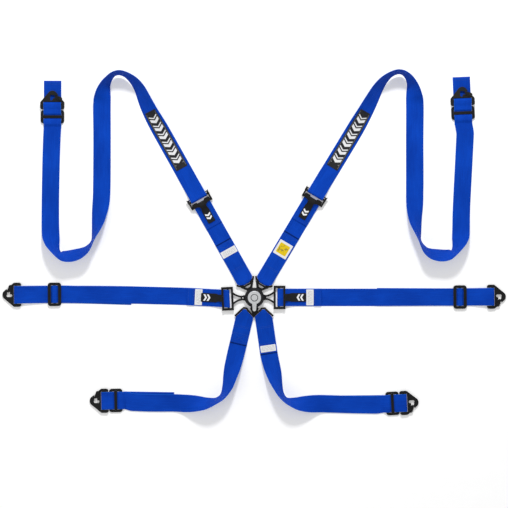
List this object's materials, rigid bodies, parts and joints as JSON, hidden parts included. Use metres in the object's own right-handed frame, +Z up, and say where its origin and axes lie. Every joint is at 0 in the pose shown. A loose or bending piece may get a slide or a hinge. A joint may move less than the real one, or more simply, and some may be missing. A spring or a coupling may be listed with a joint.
{
  "type": "racing harness",
  "caption": "Racing harness with webbing straps, a round turn-release buckle with latching tongues, tilt-lock adjusters, slides and snap hooks at the strap ends.",
  "frame": {"origin": "on the floor, under the middle of the laid-out harness", "axes": "X towards the right lap hook, Y towards the shoulder hooks, Z up from the floor"},
  "size_m": [1.4395, 0.9835, 0.0576],
  "materials": {
    "webbing": "woven",
    "pull_tab": "matt",
    "patch": "woven",
    "black_steel": "satin black",
    "gate": "satin black",
    "housing": "matt black",
    "lever": "satin",
    "inner_steel": "zinc plated",
    "knurled_bar": "black, knurled",
    "spring": "drawn wire"
  },
  "bodies": {
    "buckle": {"buckle_base": "black_steel", "buckle_housing": "housing", "housing_screws": "black_steel", "latch_guide": "inner_steel", "center_stud": "inner_steel", "latch_springs": "spring", "lever_spring": "spring", "lap_lug_left": "black_steel", "lug_pin": "inner_steel", "lap_strap_left": "webbing", "lap_pull_tab_left": "pull_tab", "slide_lap_left": "black_steel"},
    "lever": {"release_lever": "lever", "lever_cap": "lever", "lift_cam": "inner_steel"},
    "pin_shoulder_left": {"latch_pin_shoulder_left": "inner_steel"},
    "pin_shoulder_right": {"latch_pin_shoulder_right": "inner_steel"},
    "pin_lap": {"latch_pin_lap": "inner_steel"},
    "pin_crotch": {"latch_pin_crotch": "inner_steel"},
    "lock_bar_left": {"lap_lock_bar_left": "knurled_bar"},
    "lock_bar_right": {"lap_lock_bar_right": "knurled_bar"},
    "tongue_shoulder_left": {"shoulder_tongue_left": "black_steel"},
    "tongue_shoulder_right": {"shoulder_tongue_right": "black_steel"},
    "tongue_lap_right": {"lap_tongue_right": "black_steel", "lap_strap_right": "webbing", "lap_pull_tab_right": "pull_tab", "slide_lap_right": "black_steel"},
    "tongue_crotch": {"crotch_plate": "black_steel"},
    "lower_strap_left": {"shoulder_lower_left": "webbing"},
    "lower_strap_right": {"shoulder_lower_right": "webbing"},
    "adjuster_lever_left": {"adjuster_lever_left": "black_steel", "adjuster_tab_left": "pull_tab"},
    "adjuster_lever_right": {"adjuster_lever_right": "black_steel", "adjuster_tab_right": "pull_tab"},
    "upper_strap_left": {"adjuster_left": "black_steel", "adjuster_bar_left": "knurled_bar", "shoulder_strap_left": "webbing", "shoulder_patch_left": "patch", "slide_shoulder_left": "black_steel"},
    "upper_strap_right": {"adjuster_right": "black_steel", "adjuster_bar_right": "knurled_bar", "shoulder_strap_right": "webbing", "shoulder_patch_right": "patch", "slide_shoulder_right": "black_steel"},
    "crotch_strap_left": {"crotch_strap_left": "webbing", "slide_crotch_left": "black_steel"},
    "crotch_strap_right": {"crotch_strap_right": "webbing", "slide_crotch_right": "black_steel"},
    "hook_lap_left": {"hook_lap_left": "black_steel"},
    "gate_lap_left": {"gate_lap_left": "gate"},
    "hook_lap_right": {"hook_lap_right": "black_steel"},
    "gate_lap_right": {"gate_lap_right": "gate"},
    "hook_crotch_left": {"hook_crotch_left": "black_steel"},
    "gate_crotch_left": {"gate_crotch_left": "gate"},
    "hook_crotch_right": {"hook_crotch_right": "black_steel"},
    "gate_crotch_right": {"gate_crotch_right": "gate"},
    "hook_shoulder_left": {"hook_shoulder_left": "black_steel"},
    "gate_shoulder_left": {"gate_shoulder_left": "gate"},
    "hook_shoulder_right": {"hook_shoulder_right": "black_steel"},
    "gate_shoulder_right": {"gate_shoulder_right": "gate"}
  },
  "joints": [
    {"name": "release_turn", "type": "hinge", "parent": "buckle", "child": "lever", "pos_m": [0, -0.1555, 0.022], "axis": [0, 0, 1], "range_deg": [0, 60], "stiffness_Nm_per_rad": 0.05, "springref_deg": -20.05},
    {"name": "latch_shoulder_left", "type": "slide", "parent": "buckle", "child": "pin_shoulder_left", "axis": [0, 0, 1], "range_m": [0, 0.0035], "deforming": ["latch_springs"]},
    {"name": "latch_shoulder_right", "type": "slide", "parent": "buckle", "child": "pin_shoulder_right", "axis": [0, 0, 1], "range_m": [0, 0.0035]},
    {"name": "latch_lap", "type": "slide", "parent": "buckle", "child": "pin_lap", "axis": [0, 0, 1], "range_m": [0, 0.0035]},
    {"name": "latch_crotch", "type": "slide", "parent": "buckle", "child": "pin_crotch", "axis": [0, 0, 1], "range_m": [0, 0.0035]},
    {"name": "eject_shoulder_left", "type": "slide", "parent": "buckle", "child": "tongue_shoulder_left", "axis": [-0.4894, 0.8721, 0], "range_m": [0, 0.0031]},
    {"name": "eject_shoulder_right", "type": "slide", "parent": "buckle", "child": "tongue_shoulder_right", "axis": [0.512, 0.859, 0], "range_m": [0, 0.0031]},
    {"name": "eject_lap_right", "type": "slide", "parent": "buckle", "child": "tongue_lap_right", "axis": [1, 0, 0], "range_m": [0, 0.0031]},
    {"name": "eject_crotch", "type": "slide", "parent": "buckle", "child": "tongue_crotch", "axis": [0, -1, 0], "range_m": [0, 0.003]},
    {"name": "lock_bar_left_slide", "type": "slide", "parent": "buckle", "child": "lock_bar_left", "axis": [-0.9988, -0.0489, 0], "range_m": [0, 0.0024]},
    {"name": "lock_bar_right_slide", "type": "slide", "parent": "tongue_lap_right", "child": "lock_bar_right", "axis": [1, 0, 0], "range_m": [0, 0.0024]},
    {"name": "lower_strap_left_pivot", "type": "hinge", "parent": "tongue_shoulder_left", "child": "lower_strap_left", "pos_m": [-0.02388, -0.11294, 0.0065], "axis": [0.8721, 0.4894, 0], "range_deg": [0, 13]},
    {"name": "adjuster_left_pivot", "type": "hinge", "parent": "lower_strap_left", "child": "upper_strap_left", "pos_m": [-0.15073, 0.1131, 0.0065], "axis": [0.8721, 0.4894, 0], "range_deg": [0, 60]},
    {"name": "adjuster_lever_left_lift", "type": "hinge", "parent": "lower_strap_left", "child": "adjuster_lever_left", "pos_m": [-0.15073, 0.1131, 0.0065], "axis": [-0.8721, -0.4894, 0], "range_deg": [0, 25]},
    {"name": "lower_strap_right_pivot", "type": "hinge", "parent": "tongue_shoulder_right", "child": "lower_strap_right", "pos_m": [0.02499, -0.11358, 0.0065], "axis": [0.859, -0.512, 0], "range_deg": [0, 13]},
    {"name": "adjuster_right_pivot", "type": "hinge", "parent": "lower_strap_right", "child": "upper_strap_right", "pos_m": [0.1659, 0.1228, 0.0065], "axis": [0.859, -0.512, 0], "range_deg": [0, 60]},
    {"name": "adjuster_lever_right_lift", "type": "hinge", "parent": "lower_strap_right", "child": "adjuster_lever_right", "pos_m": [0.1659, 0.1228, 0.0065], "axis": [-0.859, 0.512, 0], "range_deg": [0, 25]},
    {"name": "crotch_strap_left_pivot", "type": "hinge", "parent": "tongue_crotch", "child": "crotch_strap_left", "pos_m": [-0.024, -0.1948, 0.0065], "axis": [-0.9736, 0.2284, 0], "range_deg": [0, 22]},
    {"name": "crotch_strap_right_pivot", "type": "hinge", "parent": "tongue_crotch", "child": "crotch_strap_right", "pos_m": [0.024, -0.1948, 0.0065], "axis": [-0.9898, -0.1426, 0], "range_deg": [0, 22]},
    {"name": "hook_lap_left_swivel", "type": "hinge", "parent": "buckle", "child": "hook_lap_left", "pos_m": [-0.6825, -0.1479, 0.0055], "axis": [-0.0105, 0.9999, 0], "range_deg": [-60, 90]},
    {"name": "gate_lap_left_turn", "type": "hinge", "parent": "hook_lap_left", "child": "gate_lap_left", "pos_m": [-0.69695, -0.12555, 0.00864], "axis": [-0.061, -0.0006, 0.9981], "range_deg": [0, 30], "stiffness_Nm_per_rad": 0.02, "springref_deg": -28.65},
    {"name": "hook_lap_right_swivel", "type": "hinge", "parent": "tongue_lap_right", "child": "hook_lap_right", "pos_m": [0.681, -0.1535, 0.0055], "axis": [0.0105, -0.9999, 0], "range_deg": [-60, 90]},
    {"name": "gate_lap_right_turn", "type": "hinge", "parent": "hook_lap_right", "child": "gate_lap_right", "pos_m": [0.69545, -0.17585, 0.00864], "axis": [0.061, 0.0006, 0.9981], "range_deg": [0, 30], "stiffness_Nm_per_rad": 0.02, "springref_deg": -28.65},
    {"name": "hook_crotch_left_swivel", "type": "hinge", "parent": "crotch_strap_left", "child": "hook_crotch_left", "pos_m": [-0.433, -0.451, 0.0055], "axis": [-0.0175, 0.9998, 0], "range_deg": [-60, 90]},
    {"name": "gate_crotch_left_turn", "type": "hinge", "parent": "hook_crotch_left", "child": "gate_crotch_left", "pos_m": [-0.44761, -0.42875, 0.00864], "axis": [-0.061, -0.0011, 0.9981], "range_deg": [0, 30], "stiffness_Nm_per_rad": 0.02, "springref_deg": -28.65},
    {"name": "hook_crotch_right_swivel", "type": "hinge", "parent": "crotch_strap_right", "child": "hook_crotch_right", "pos_m": [0.4315, -0.457, 0.0055], "axis": [0.0523, -0.9986, 0], "range_deg": [-60, 90]},
    {"name": "gate_crotch_right_turn", "type": "hinge", "parent": "hook_crotch_right", "child": "gate_crotch_right", "pos_m": [0.44688, -0.47873, 0.00864], "axis": [0.061, 0.0032, 0.9981], "range_deg": [0, 30], "stiffness_Nm_per_rad": 0.02, "springref_deg": -28.65},
    {"name": "hook_shoulder_left_swivel", "type": "hinge", "parent": "upper_strap_left", "child": "hook_shoulder_left", "pos_m": [-0.5775, 0.3975, 0.0071], "axis": [1, 0, 0], "range_deg": [0, 90]},
    {"name": "gate_shoulder_left_turn", "type": "hinge", "parent": "hook_shoulder_left", "child": "gate_shoulder_left", "pos_m": [-0.555, 0.41172, 0.01024], "axis": [0, 0.061, 0.9981], "range_deg": [0, 30], "stiffness_Nm_per_rad": 0.02, "springref_deg": -28.65},
    {"name": "hook_shoulder_right_swivel", "type": "hinge", "parent": "upper_strap_right", "child": "hook_shoulder_right", "pos_m": [0.595, 0.4085, 0.0071], "axis": [0.999, 0.0436, 0], "range_deg": [0, 90]},
    {"name": "gate_shoulder_right_turn", "type": "hinge", "parent": "hook_shoulder_right", "child": "gate_shoulder_right", "pos_m": [0.61686, 0.42369, 0.01024], "axis": [-0.0027, 0.061, 0.9981], "range_deg": [0, 30], "stiffness_Nm_per_rad": 0.02, "springref_deg": -28.65}
  ],
  "couplings": [
    {"joint": "release_turn", "follows": "eject_crotch", "rad_per_m": 349},
    {"joint": "latch_shoulder_left", "follows": "eject_crotch", "ratio": 1.1333},
    {"joint": "latch_shoulder_right", "follows": "eject_crotch", "ratio": 1.1333},
    {"joint": "latch_lap", "follows": "eject_crotch", "ratio": 1.1333},
    {"joint": "latch_crotch", "follows": "eject_crotch", "ratio": 1.1333},
    {"joint": "eject_shoulder_left", "follows": "eject_crotch", "ratio": 1},
    {"joint": "eject_shoulder_right", "follows": "eject_crotch", "ratio": 1},
    {"joint": "eject_lap_right", "follows": "eject_crotch", "ratio": 1}
  ]
}
